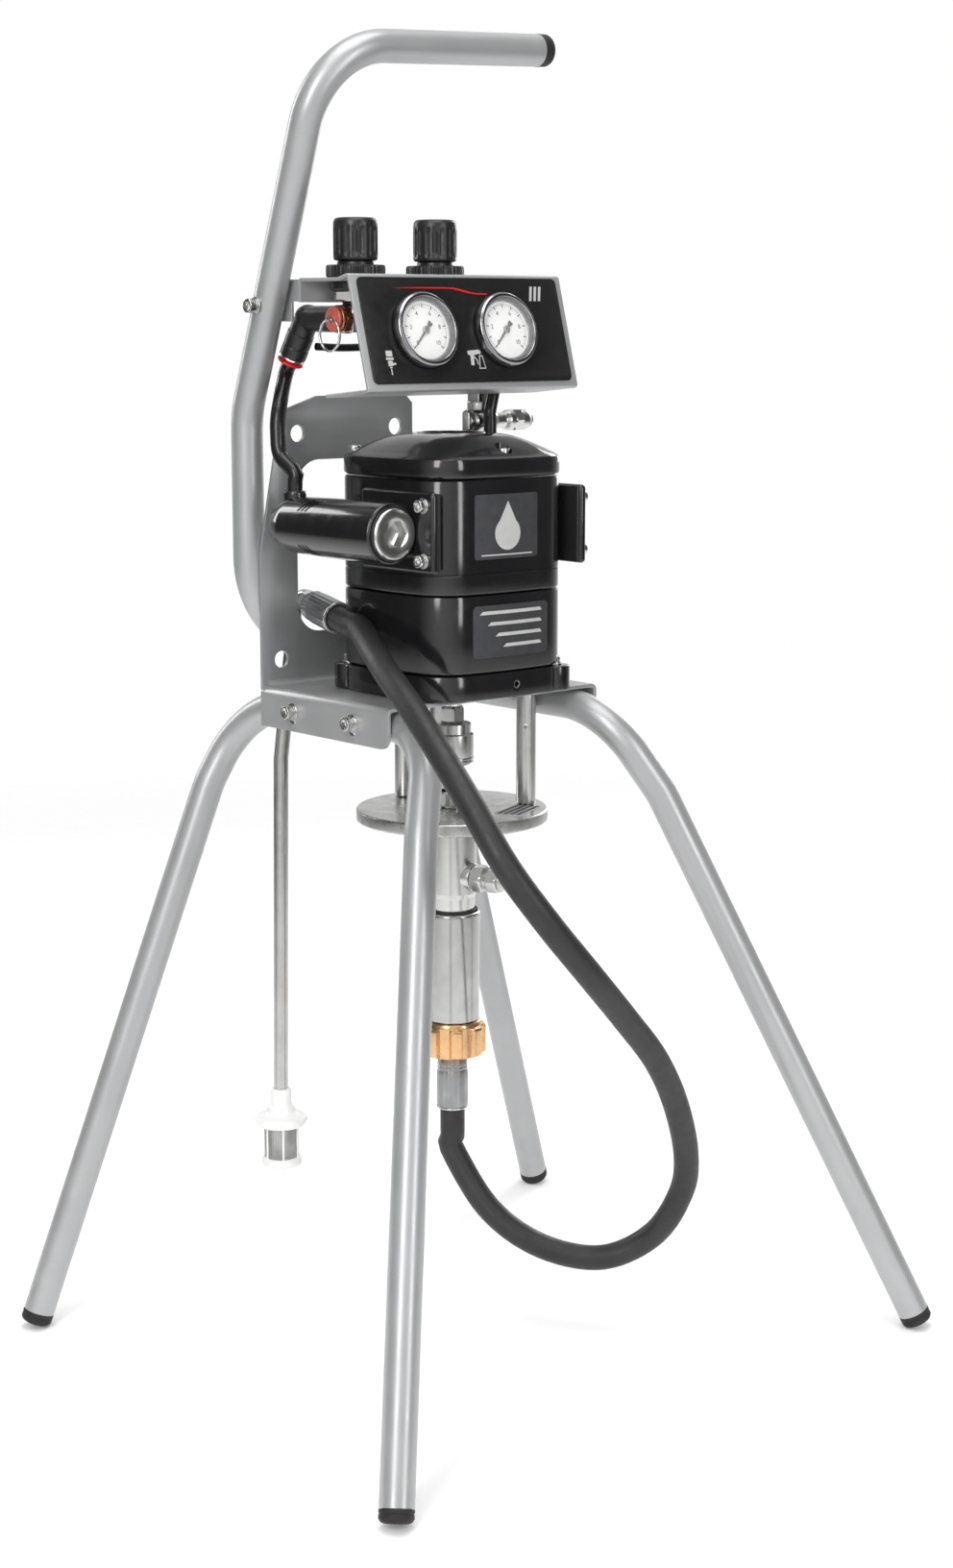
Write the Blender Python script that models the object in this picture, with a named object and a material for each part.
"""Air-driven airless paint sprayer on a four-legged tube stand.

Metres, +Z up.  The gauges face -Y, +X is the side of the carrying grip's free end,
and the origin is on the floor in the middle of the four feet.
"""
import math

import bmesh
import bpy
from mathutils import Matrix, Vector

GAP = 0.0003

# Stand: two bent tubes, each of which makes a front and a back leg
LEG_RADIUS = 0.0125
LEG_WALL = 0.0015
LEG_BEND = 0.066
LEG_LINE_X = 0.100
KNEE_HEIGHT = 0.440
ARCH_FRONT = -0.050
ARCH_BACK = 0.178
FOOT_SIDE = 0.275
FOOT_FRONT = 0.237
FOOT_BACK = 0.235
FRONT_SPLAY = 0.353
BACK_SPLAY = 0.103
CAP_HEAD = 0.010
CAP_SHANK = 0.014
CAP_TIP = 0.0085
CAP_CHAMFER = 0.003

# Base bracket: one folded sheet with a back plate
SHEET = 0.003
PLATE_TOP = 0.523
PLATE_SIDE = 0.107
PLATE_FRONT = -0.023
PLATE_BACK = 0.139
FLANGE_DEPTH = 0.0315
ARCH_CLEARANCE = 0.0022
BACK_TOP = 0.750
BACK_TAPER_START = 0.628
BACK_TAPER_END = 0.705
BACK_TOP_LEFT = -0.085
BACK_TOP_RIGHT = 0.0475
BACK_CHAMFER = 0.035
BACK_CHAMFER_DROP = 0.011
WINDOW_LEFT = -0.071
WINDOW_RIGHT = 0.071
WINDOW_BOTTOM = 0.563
WINDOW_TOP = 0.700
WINDOW_CORNER = 0.022
BACK_HOLE_RADIUS = 0.0068
BACK_HOLES = ((-0.0695, 0.721), (0.0295, 0.724), (-0.0880, 0.543), (0.0880, 0.543))
LEG_BOLT_PLACES = (0.0206, 0.0964)
LEG_BOLT_HOLE = 0.0045

# Carrying handle
HANDLE_RADIUS = 0.0125
HANDLE_WALL = 0.0015
HANDLE_X = -0.107
HANDLE_BEND = 0.075
HANDLE_TOP_BEND = 0.062
HANDLE_LOWER = 0.5500
HANDLE_LEAN_START = 0.737
HANDLE_LEAN = 0.37
GRIP_HEIGHT = 1.0090
GRIP_RISE = 0.042
GRIP_END = 0.1060
GRIP_CAP_HEAD = 0.011

# Drive axis shared by the air motor, its rod and the fluid pump
AXIS_Y = 0.030

# Air motor
MOTOR_WIDTH = 0.1365
MOTOR_CORNER = 0.030
MOTOR_BULGE = 0.0025
BASE_HEIGHT = 0.0205
LOWER_HOUSING_HEIGHT = 0.0600
UPPER_HOUSING_HEIGHT = 0.0870
COVER_RIM = 0.0160
COVER_HEIGHT = 0.0320
COVER_CROWN_RADIUS = 0.044
BORE_RADIUS = 0.0500
COVER_POCKET = 0.0060
LUG_RADIUS = 0.0120
PISTON_THICKNESS = 0.0200
ROD_RADIUS = 0.0080
STROKE_HALF = 0.0250

# Air valve blocks on the two sides of the motor
BLOCK_OUT = 0.0098
BLOCK_HEIGHT = 0.0610
BLOCK_BACK = 0.0450
BLOCK_CENTRE = 0.6530
BLOCK_ROUND = 0.0060
EXHAUST_RADIUS = 0.0232
EXHAUST_STANDOFF = 0.02975
EXHAUST_FRONT = -0.0180
EXHAUST_LENGTH = 0.1330
PLUG_RADIUS = 0.0195
PLUG_HEAD = 0.0040
PLUG_SHANK_RADIUS = 0.0150
PLUG_SHANK = 0.0120
PLUG_HEX = 0.0100

# Tie rods and pump
TIE_RADIUS = 0.0078
TIE_CIRCLE = 0.0600
TIE_ANGLES = (90.0, 210.0, 330.0)
DISC_RADIUS = 0.0762
DISC_TOP = 0.4280
DISC_THICKNESS = 0.0100
DISC_CHAMFER = 0.0012
ROD_NUT_RADIUS = 0.0094
ROD_NUT_HEIGHT = 0.0130
COUPLING_TOP = 0.4960
COUPLING_LENGTH = 0.0330
COUPLING_RADIUS = 0.0172
COUPLING_NECK_RADIUS = 0.0150
COUPLING_NECK = 0.0080
PLUNGER_RADIUS = 0.0060
PLUNGER_BOTTOM = 0.2900
PACKING_RADIUS = 0.0110
PACKING_HEIGHT = 0.0130
BODY_RADIUS = 0.0195
BODY_BOTTOM = 0.3440
PUMP_BORE = 0.0110
CYLINDER_RADIUS = 0.0225
CYLINDER_BOTTOM = 0.2540
CYLINDER_FLAT = 0.0180
UNION_RADIUS = 0.0270
UNION_HEIGHT = 0.0290
UNION_LOBES = 8
UNION_BORE = 0.0160
FERRULE_RADIUS = 0.0127
FERRULE_LENGTH = 0.0450
FERRULE_STEM_RADIUS = 0.0080
OUTLET_HEIGHT = 0.3730
OUTLET_ANGLE = -76.0
OUTLET_LENGTH = 0.0400

# Suction side
HOSE_RADIUS = 0.0100
TUBE_RADIUS = 0.0060
TUBE_WALL = 0.0010
TUBE_Y = 0.1580
TUBE_LOW_X = -0.0790
TUBE_LEAN_X = -0.0740
TUBE_LEAN_Z = 0.4580
TUBE_TOP_X = -0.0565
TUBE_TOP_Z = 0.5905
TUBE_BOTTOM = 0.1720
TUBE_BEND = 0.0120
WINDOW_PASS = (-0.0560, 0.1410, 0.5900)
UPPER_FERRULE_BACK = (-0.0760, 0.1130, 0.5885)
UPPER_FERRULE_AIM = (-0.147, -0.978, -0.155)
STRAINER_RADIUS = 0.0148
STRAINER_FLANGE_RADIUS = 0.0220
STRAINER_FOOT_RADIUS = 0.0168
STRAINER_BOTTOM = 0.1150
STRAINER_LENGTH = 0.0680
STRAINER_FLANGE_UP = 0.0370
STRAINER_FLANGE_HEIGHT = 0.0110
STRAINER_RIM = 0.0080

# Control panel
PANEL_LEFT = -0.1105
PANEL_RIGHT = 0.0990
PANEL_TOP = 0.8440
PANEL_SHELF = 0.8405
PANEL_RIM_BACK = 0.0290
PANEL_BOTTOM = 0.7568
PANEL_TOP_Y = 0.0164
PANEL_BOTTOM_Y = -0.0077
PANEL_BACK_Y = 0.0780
PANEL_REAR_DROP = 0.0180
EAR_LOW = 0.8080
EAR_BOLT_Z = 0.8200
PANEL_LIP_BACK = 0.0450
PANEL_LIP_DROP = 0.0050
PANEL_SHEET = 0.0025
FACIA_MARGIN = 0.0058
FACIA_TOP_MARGIN = 0.0035
FACIA_THICKNESS = 0.0012
FACIA_CORNER = 0.0040
GAUGE_PLACES = (-0.0500, 0.0300)
GAUGE_DOWN = 0.0449
GAUGE_BEZEL = 0.0292
GAUGE_CAN = 0.0255
GAUGE_CAN_DEPTH = 0.0180
GAUGE_BEZEL_HEIGHT = 0.0080
GAUGE_DIAL_RADIUS = 0.0262
GAUGE_DIAL_DEPTH = 0.0050
POINTER_LENGTH = 0.0190
POINTER_TAIL = 0.0070
POINTER_START = 225.0

# Regulators and manifold
REGULATOR_PLACES = (-0.0755, 0.0023)
REGULATOR_Y = 0.0520
NECK_RADIUS = 0.0110
BONNET_RADIUS = 0.0200
BONNET_HEIGHT = 0.0150
RING_RADIUS = 0.0225
RING_HEIGHT = 0.0095
RING_NOTCHES = 24
KNOB_RADIUS = 0.0168
KNOB_HEIGHT = 0.0320
KNOB_LIFT = 0.0030
KNOB_FLUTES = 20
MANIFOLD_LEFT = -0.0850
MANIFOLD_RIGHT = 0.0780
MANIFOLD_WIDTH = 0.0160
MANIFOLD_TOP = 0.8200
MANIFOLD_BOTTOM = 0.8000

# Safety valve, elbow and air tubes
SAFETY_RADIUS = 0.0100
SAFETY_LENGTH = 0.0100
SAFETY_CAP_RADIUS = 0.0075
SAFETY_CAP = 0.0035
SAFETY_STEM_RADIUS = 0.0030
SAFETY_TRAVEL = 0.0020
PULL_RING_RADIUS = 0.0115
PULL_RING_WIRE = 0.0009
ELBOW_X = -0.0765
ELBOW_Y = 0.1130
ELBOW_RADIUS = 0.0095
ELBOW_AIM = (-0.09, 0.46, -0.88)
ELBOW_DROP = 0.0340
COLLAR_RADIUS = 0.0095
COLLAR_TRAVEL = 0.0015
AIR_TUBE_RADIUS = 0.0060
AIR_TUBE_WALL = 0.0015

# Air inlet valve
RISER_X = 0.0608
RISER_Y = 0.0675
RISER_SIDE = 0.0140
INLET_Z = 0.7295
INLET_RADIUS = 0.0085
INLET_LEFT = 0.0520
INLET_RIGHT = 0.1140
WING_HALF = 0.0095
WING_THICKNESS = 0.0050
WING_HEIGHT = 0.0080
AIR_RIGHT_X = 0.0700


def clear_objects():
    for item in list(bpy.data.objects):
        bpy.data.objects.remove(item, do_unlink=True)


def material(name, colour, roughness, metallic):
    made = bpy.data.materials.new(name)
    made.use_nodes = True
    shader = made.node_tree.nodes["Principled BSDF"]
    shader.inputs["Base Color"].default_value = (*colour, 1.0)
    shader.inputs["Roughness"].default_value = roughness
    shader.inputs["Metallic"].default_value = metallic
    return made


def finish_object(item, finish, sharp=35.0):
    item.data.materials.append(finish)
    if item.type == "MESH":
        item.data.shade_smooth()
        item.data.set_sharp_from_angle(angle=math.radians(sharp))
    return item


def object_from(name, mesh_code, finish, place=None):
    mesh = bpy.data.meshes.new(name)
    bmesh.ops.recalc_face_normals(mesh_code, faces=mesh_code.faces)
    mesh_code.to_mesh(mesh)
    mesh_code.free()
    item = bpy.data.objects.new(name, mesh)
    bpy.context.scene.collection.objects.link(item)
    if place is not None:
        item.matrix_world = place
    return finish_object(item, finish)


def aimed(origin, direction, up=(0.0, 0.0, 1.0)):
    """A frame at origin with its local Z along direction."""
    z_axis = Vector(direction).normalized()
    helper = Vector(up)
    if abs(z_axis.dot(helper)) > 0.99:
        helper = Vector((0.0, 1.0, 0.0))
    x_axis = helper.cross(z_axis).normalized()
    y_axis = z_axis.cross(x_axis)
    turn = Matrix((x_axis, y_axis, z_axis)).transposed().to_4x4()
    return Matrix.Translation(Vector(origin)) @ turn


def upright(x, y, z):
    return Matrix.Translation(Vector((x, y, z)))


def close_ring(code, ring, height):
    """A flat face over the ring, or a cone where the axis point lies at another height."""
    if abs(height - ring[0].co.z) < 1e-6:
        code.faces.new(ring)
        return
    tip = code.verts.new((0.0, 0.0, height))
    for first, second in zip(ring, ring[1:] + ring[:1]):
        code.faces.new((first, second, tip))


def turned(name, profile, finish, place, sides=24, outline=None):
    """Revolve a profile of (radius, height) about local Z, bottom to top.

    A profile that starts and ends on the axis makes a solid; any other one closes on itself
    as a ring.  outline(angle, radius) may shape each level.
    """
    code = bmesh.new()
    rings = []
    for radius, height in profile:
        if radius <= 0.0:
            rings.append([height])
            continue
        ring = []
        for step in range(sides):
            angle = math.tau * step / sides
            reach = outline(angle, radius) if outline else radius
            ring.append(code.verts.new((reach * math.cos(angle), reach * math.sin(angle), height)))
        rings.append(ring)
    if profile[0][0] > 0.0:
        rings.append(rings[0])
    for lower, upper in zip(rings, rings[1:]):
        if len(lower) == 1 or len(upper) == 1:
            ring, height = (upper, lower[0]) if len(lower) == 1 else (lower, upper[0])
            close_ring(code, ring, height)
            continue
        for step in range(sides):
            after = (step + 1) % sides
            code.faces.new((lower[step], lower[after], upper[after], upper[step]))
    return object_from(name, code, finish, place)


def prism(name, outline, low, high, finish, place=None):
    """Extrude a closed outline of (x, y) points along local Z from low to high."""
    code = bmesh.new()
    base = code.faces.new([code.verts.new((x, y, low)) for x, y in outline])
    grown = bmesh.ops.extrude_face_region(code, geom=[base])
    top = [part for part in grown["geom"] if isinstance(part, bmesh.types.BMVert)]
    bmesh.ops.translate(code, verts=top, vec=(0.0, 0.0, high - low))
    return object_from(name, code, finish, place)


def box(name, low, high, finish, round_edges=0.0, place=None):
    code = bmesh.new()
    bmesh.ops.create_cube(code, size=1.0)
    for corner in code.verts:
        corner.co = Vector(low[k] + (corner.co[k] + 0.5) * (high[k] - low[k]) for k in range(3))
    if round_edges:
        bmesh.ops.bevel(code, geom=code.edges, offset=round_edges, segments=2, profile=0.5,
                        affect="EDGES")
    return object_from(name, code, finish, place)


def bent_path(corners, radius, step_degrees=15.0):
    """Points along a polyline whose inner corners are rounded to the bend radius."""
    corners = [Vector(corner) for corner in corners]
    path = [corners[0]]
    for before, corner, after in zip(corners, corners[1:], corners[2:]):
        into = (corner - before).normalized()
        out = (after - corner).normalized()
        turn = into.angle(out)
        reach = radius * math.tan(turn / 2.0)
        side = (out - into * out.dot(into)).normalized()
        centre = corner - into * reach + side * radius
        steps = max(2, round(math.degrees(turn) / step_degrees))
        for step in range(steps + 1):
            angle = turn * step / steps
            path.append(centre - side * radius * math.cos(angle) + into * radius * math.sin(angle))
    path.append(corners[-1])
    return path


def pipe(name, path, radius, wall, finish, sides=16):
    """A hollow tube swept along the path, open at both ends."""
    code = bmesh.new()
    direction = (path[1] - path[0]).normalized()
    across = direction.orthogonal().normalized()
    outer = []
    inner = []
    for index, point in enumerate(path):
        before = path[max(index - 1, 0)]
        after = path[min(index + 1, len(path) - 1)]
        direction = (after - before).normalized()
        across = (across - direction * across.dot(direction)).normalized()
        beside = direction.cross(across)
        for rings, reach in ((outer, radius), (inner, radius - wall)):
            ring = []
            for step in range(sides):
                angle = math.tau * step / sides
                offset = across * math.cos(angle) + beside * math.sin(angle)
                ring.append(code.verts.new(point + offset * reach))
            rings.append(ring)
    for rings in (outer, inner):
        for first, second in zip(rings, rings[1:]):
            for step in range(sides):
                after = (step + 1) % sides
                code.faces.new((first[step], first[after], second[after], second[step]))
    for outside, inside in ((outer[0], inner[0]), (outer[-1], inner[-1])):
        for step in range(sides):
            after = (step + 1) % sides
            code.faces.new((outside[step], outside[after], inside[after], inside[step]))
    return object_from(name, code, finish)


def lead(point, direction, length):
    """Three points in line, so that a route leaves or enters an end squarely."""
    along = Vector(direction).normalized()
    return [Vector(point), Vector(point) + along * length, Vector(point) + along * length * 1.5]


def smooth_route(points, spacing):
    """Evenly spaced points on a smooth curve through the route's own points."""
    points = [Vector(point) for point in points]
    ends = [points[0] * 2.0 - points[1]] + points + [points[-1] * 2.0 - points[-2]]
    fine = []
    for a, b, c, d in zip(ends, ends[1:], ends[2:], ends[3:]):
        for step in range(24):
            t = step / 24.0
            fine.append(0.5 * ((2.0 * b) + (c - a) * t + (2.0 * a - 5.0 * b + 4.0 * c - d) * t * t
                               + (3.0 * b - a - 3.0 * c + d) * t * t * t))
    fine.append(points[-1])
    length = sum((after - before).length for before, after in zip(fine, fine[1:]))
    count = max(2, round(length / spacing))
    even = [fine[0]]
    walked = 0.0
    for before, after in zip(fine, fine[1:]):
        walked += (after - before).length
        if walked >= length * len(even) / count and len(even) < count:
            even.append(after)
    even.append(fine[-1])
    return even


def cord_object(name, points, radius, finish):
    """A solid round cord along the points, as a curve with filled caps."""
    data = bpy.data.curves.new(name, "CURVE")
    data.dimensions = "3D"
    data.bevel_depth = radius
    data.bevel_resolution = 3
    data.use_fill_caps = True
    spline = data.splines.new("POLY")
    spline.points.add(len(points) - 1)
    for slot, point in zip(spline.points, points):
        slot.co = (*point, 1.0)
    item = bpy.data.objects.new(name, data)
    bpy.context.scene.collection.objects.link(item)
    return finish_object(item, finish)


def add_boolean(item, tool, operation):
    modifier = item.modifiers.new(operation.lower(), "BOOLEAN")
    modifier.operation = operation
    modifier.object = tool
    modifier.solver = "EXACT"
    tool.hide_render = True
    tool.display_type = "WIRE"


def cut_round(item, radius, origin, direction, length, finish, sides=20):
    """A round hole of the given length that starts at origin and runs along direction."""
    tool = turned("cutter", [(0.0, 0.0), (radius, 0.0), (radius, length), (0.0, length)], finish,
                  aimed(origin, direction), sides)
    add_boolean(item, tool, "DIFFERENCE")


def join_solid(item, part):
    add_boolean(item, part, "UNION")


def rounded_rectangle(x_low, x_high, y_low, y_high, radius, steps=4, bulge=0.0):
    """Corner arcs, and sides that swell outwards by the bulge in their middle."""
    points = []
    centres = ((x_high - radius, y_high - radius, 0.0), (x_low + radius, y_high - radius, 90.0),
               (x_low + radius, y_low + radius, 180.0), (x_high - radius, y_low + radius, 270.0))
    for x, y, start in centres:
        for step in range(steps + 1):
            angle = math.radians(start + 90.0 * step / steps)
            points.append((x + radius * math.cos(angle), y + radius * math.sin(angle)))
        if bulge:
            middle = math.radians(start + 90.0)
            reach_x = (x_high - x_low) / 2.0 + bulge
            reach_y = (y_high - y_low) / 2.0 + bulge
            points.append(((x_low + x_high) / 2.0 + reach_x * math.cos(middle),
                           (y_low + y_high) / 2.0 + reach_y * math.sin(middle)))
    return points


def hexagon(across_flats, turn=0.0):
    radius = across_flats / math.sqrt(3.0)
    return [(radius * math.cos(math.radians(60.0 * k + turn)),
             radius * math.sin(math.radians(60.0 * k + turn))) for k in range(6)]


# Heights that follow from the sizes above
MOTOR_FLOOR = PLATE_TOP + GAP
LOWER_HOUSING_BASE = MOTOR_FLOOR + BASE_HEIGHT + GAP
UPPER_HOUSING_BASE = LOWER_HOUSING_BASE + LOWER_HOUSING_HEIGHT + GAP
COVER_BASE = UPPER_HOUSING_BASE + UPPER_HOUSING_HEIGHT + GAP
PISTON_MIDDLE = (LOWER_HOUSING_BASE + COVER_BASE) / 2.0
MOTOR_HALF = MOTOR_WIDTH / 2.0
EXHAUST_CENTRE = -(MOTOR_HALF + EXHAUST_STANDOFF)
ARCH_Z = PLATE_TOP - SHEET - GAP - LEG_RADIUS
ARCH_X = PLATE_SIDE - SHEET - ARCH_CLEARANCE - LEG_RADIUS
HANDLE_Y = PLATE_BACK + GAP + HANDLE_RADIUS
PANEL_UP = Vector((0.0, PANEL_TOP_Y - PANEL_BOTTOM_Y, PANEL_TOP - PANEL_BOTTOM)).normalized()
PANEL_OUT = Vector((1.0, 0.0, 0.0)).cross(PANEL_UP)
PANEL_LENGTH = math.hypot(PANEL_TOP_Y - PANEL_BOTTOM_Y, PANEL_TOP - PANEL_BOTTOM)
PANEL_MIDDLE = (PANEL_LEFT + PANEL_RIGHT) / 2.0
PANEL_HALF = (PANEL_RIGHT - PANEL_LEFT) / 2.0
NUT_TOP = COUPLING_TOP + GAP + ROD_NUT_HEIGHT
ROD_BOTTOM = NUT_TOP + GAP
UNION_TOP = CYLINDER_BOTTOM - GAP
UNION_BOTTOM = UNION_TOP - UNION_HEIGHT
FERRULE_TOP = UNION_BOTTOM - GAP
FERRULE_BOTTOM = FERRULE_TOP - FERRULE_LENGTH


def finishes():
    return {
        "frame_grey": material("frame_grey", (0.42, 0.43, 0.43), 0.42, 0.35),
        "black_gloss": material("black_gloss", (0.012, 0.012, 0.013), 0.22, 0.0),
        "steel": material("steel", (0.55, 0.55, 0.54), 0.30, 1.0),
        "chrome": material("chrome", (0.75, 0.75, 0.76), 0.12, 1.0),
        "zinc": material("zinc", (0.48, 0.48, 0.46), 0.36, 1.0),
        "brass": material("brass", (0.60, 0.38, 0.20), 0.30, 1.0),
        "copper": material("copper", (0.45, 0.20, 0.11), 0.30, 1.0),
        "rubber": material("rubber", (0.02, 0.02, 0.02), 0.60, 0.0),
        "black_plastic": material("black_plastic", (0.015, 0.015, 0.016), 0.40, 0.0),
        "red_plastic": material("red_plastic", (0.60, 0.02, 0.02), 0.35, 0.0),
        "white_plastic": material("white_plastic", (0.75, 0.75, 0.73), 0.50, 0.0),
        "dial_white": material("dial_white", (0.85, 0.85, 0.83), 0.50, 0.0),
        "cutter": material("cutter", (1.0, 0.3, 0.0), 0.5, 0.0),
    }


def base_bracket(look):
    """Deck with a down-turned flange on each side and an up-turned back plate."""
    grey = look["frame_grey"]
    inner = PLATE_SIDE - SHEET
    under = PLATE_TOP - SHEET
    low = PLATE_TOP - FLANGE_DEPTH
    channel = [(-PLATE_SIDE, low), (-inner, low), (-inner, under), (inner, under), (inner, low),
               (PLATE_SIDE, low), (PLATE_SIDE, PLATE_TOP - SHEET), (inner, PLATE_TOP),
               (-inner, PLATE_TOP), (-PLATE_SIDE, PLATE_TOP - SHEET)]
    along = Matrix(((1, 0, 0, 0), (0, 0, -1, 0), (0, 1, 0, 0), (0, 0, 0, 1)))
    bracket = prism("base_bracket", channel, -PLATE_BACK, -PLATE_FRONT, grey, along)
    back = [(-PLATE_SIDE, under), (PLATE_SIDE, under), (PLATE_SIDE, BACK_TAPER_START),
            (BACK_TOP_RIGHT, BACK_TAPER_END), (BACK_TOP_RIGHT, BACK_TOP - WINDOW_CORNER / 3.0),
            (BACK_TOP_RIGHT - WINDOW_CORNER / 3.0, BACK_TOP),
            (BACK_TOP_LEFT + BACK_CHAMFER, BACK_TOP),
            (BACK_TOP_LEFT, BACK_TOP - BACK_CHAMFER_DROP), (-PLATE_SIDE, BACK_TAPER_START)]
    join_solid(bracket, prism("cutter", back, -PLATE_BACK, SHEET - PLATE_BACK, grey, along))
    window = rounded_rectangle(WINDOW_LEFT, WINDOW_RIGHT, WINDOW_BOTTOM, WINDOW_TOP, WINDOW_CORNER)
    reach = SHEET
    hole = prism("cutter", window, -PLATE_BACK - reach, 2.0 * reach - PLATE_BACK, grey, along)
    add_boolean(bracket, hole, "DIFFERENCE")
    for x, z in BACK_HOLES:
        cut_round(bracket, BACK_HOLE_RADIUS, (x, PLATE_BACK - 2.0 * SHEET, z), (0, 1, 0),
                  3.0 * SHEET, grey, 16)
    for y in LEG_BOLT_PLACES:
        for side in (-1, 1):
            cut_round(bracket, LEG_BOLT_HOLE, (side * (inner - SHEET), y, ARCH_Z), (side, 0, 0),
                      3.0 * SHEET, grey, 12)
    cut_round(bracket, COUPLING_RADIUS + 2.0 * SHEET, (0.0, AXIS_Y, under - SHEET), (0, 0, 1),
              3.0 * SHEET, grey, 24)
    for x, y in tie_places():
        cut_round(bracket, TIE_RADIUS + GAP * 2.0, (x, y, under - SHEET), (0, 0, 1),
                  3.0 * SHEET, grey, 20)
    return bracket


def leg_direction(side, end_y, splay):
    """From a foot's floor point up the leg."""
    rise = Vector((-side * (FOOT_SIDE - LEG_LINE_X) / ARCH_Z, splay, 1.0))
    return Vector((side * FOOT_SIDE, end_y, 0.0)), rise.normalized()


def leg_tip(lean):
    """How far up the leg axis the cap's tip lies when its rim touches the floor."""
    tip = CAP_TIP * math.tan(lean)
    shoulder = (LEG_RADIUS * math.sin(lean)) / math.cos(lean) - CAP_CHAMFER
    return max(tip, shoulder)


def legs_and_caps(look):
    for side, side_name in ((-1, "left"), (1, "right")):
        front, up_front = leg_direction(side, -FOOT_FRONT, FRONT_SPLAY)
        back, up_back = leg_direction(side, FOOT_BACK, -BACK_SPLAY)
        starts = []
        for foot, up, end_name in ((front, up_front, "front"), (back, up_back, "back")):
            tip = leg_tip(up.angle(Vector((0.0, 0.0, 1.0))))
            profile = [(0.0, 0.0), (CAP_TIP, 0.0), (LEG_RADIUS, CAP_CHAMFER),
                       (LEG_RADIUS, CAP_HEAD),
                       (LEG_RADIUS - LEG_WALL - GAP, CAP_HEAD),
                       (LEG_RADIUS - LEG_WALL - GAP, CAP_HEAD + CAP_SHANK),
                       (0.0, CAP_HEAD + CAP_SHANK)]
            turned("foot_cap_" + end_name + "_" + side_name, profile, look["rubber"],
                   aimed(foot + up * tip, up), 16)
            starts.append(foot + up * (tip + CAP_HEAD + GAP))
        corners = [starts[0], front + up_front * (KNEE_HEIGHT / up_front.z),
                   Vector((side * ARCH_X, ARCH_FRONT, ARCH_Z)),
                   Vector((side * ARCH_X, ARCH_BACK, ARCH_Z)),
                   back + up_back * (KNEE_HEIGHT / up_back.z), starts[1]]
        arch = pipe("leg_arch_" + side_name, bent_path(corners, LEG_BEND), LEG_RADIUS, LEG_WALL,
                    look["frame_grey"])
        for y in LEG_BOLT_PLACES:
            cut_round(arch, LEG_BOLT_HOLE, (side * (ARCH_X - 2.0 * LEG_RADIUS), y, ARCH_Z),
                      (side, 0, 0), 4.0 * LEG_RADIUS, look["frame_grey"], 12)


def handle_corners():
    lean_top_y = HANDLE_Y - HANDLE_LEAN * (GRIP_HEIGHT - HANDLE_LEAN_START)
    top = Vector((HANDLE_X, lean_top_y, GRIP_HEIGHT))
    end = top + Vector((GRIP_END - HANDLE_X, 0.0, (GRIP_END - HANDLE_X) * GRIP_RISE))
    return Vector((HANDLE_X, HANDLE_Y, HANDLE_LEAN_START)), top, end


def carry_handle(look):
    lean_start, top, end = handle_corners()
    hook = 50.0
    centre = Vector((HANDLE_X + HANDLE_BEND, HANDLE_Y, HANDLE_LOWER + HANDLE_BEND))
    path = []
    for step in range(5):
        angle = math.radians(hook * (1.0 - step / 4.0))
        path.append(centre + HANDLE_BEND * Vector((-math.cos(angle), 0.0, -math.sin(angle))))
    upper = bent_path([path[-1], lean_start, top], HANDLE_BEND)
    path += upper[1:-1]
    path += bent_path([upper[-2], top, end], HANDLE_TOP_BEND)[1:]
    handle = pipe("carry_handle", path, HANDLE_RADIUS, HANDLE_WALL, look["frame_grey"])
    bolt = panel_bolt_place()
    cut_round(handle, LEG_BOLT_HOLE, bolt - Vector((2.0 * HANDLE_RADIUS, 0.0, 0.0)), (1, 0, 0),
              4.0 * HANDLE_RADIUS, look["frame_grey"], 12)
    along = (path[-1] - path[-2]).normalized()
    profile = [(0.0, -CAP_SHANK), (HANDLE_RADIUS - HANDLE_WALL - GAP, -CAP_SHANK),
               (HANDLE_RADIUS - HANDLE_WALL - GAP, 0.0), (HANDLE_RADIUS, 0.0),
               (HANDLE_RADIUS, GRIP_CAP_HEAD - CAP_CHAMFER),
               (CAP_TIP, GRIP_CAP_HEAD), (0.0, GRIP_CAP_HEAD)]
    turned("grip_end_cap", profile, look["rubber"], aimed(path[-1] + along * GAP, along), 16)


def panel_bolt_place():
    lean_start, top, _ = handle_corners()
    share = (EAR_BOLT_Z - lean_start.z) / (top.z - lean_start.z)
    return lean_start.lerp(top, share)


def panel_point(x, down):
    """A point on the panel's front face, given from the middle of its top edge."""
    return Vector((x, PANEL_TOP_Y, PANEL_TOP)) - PANEL_UP * down


def panel_place(x, down, lift=0.0):
    """A frame on the panel's front face with local Z outwards and local X along +X."""
    origin = panel_point(x, down) + PANEL_OUT * lift
    turn = Matrix((Vector((1.0, 0.0, 0.0)), PANEL_UP, PANEL_OUT)).transposed().to_4x4()
    return Matrix.Translation(origin) @ turn


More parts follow.
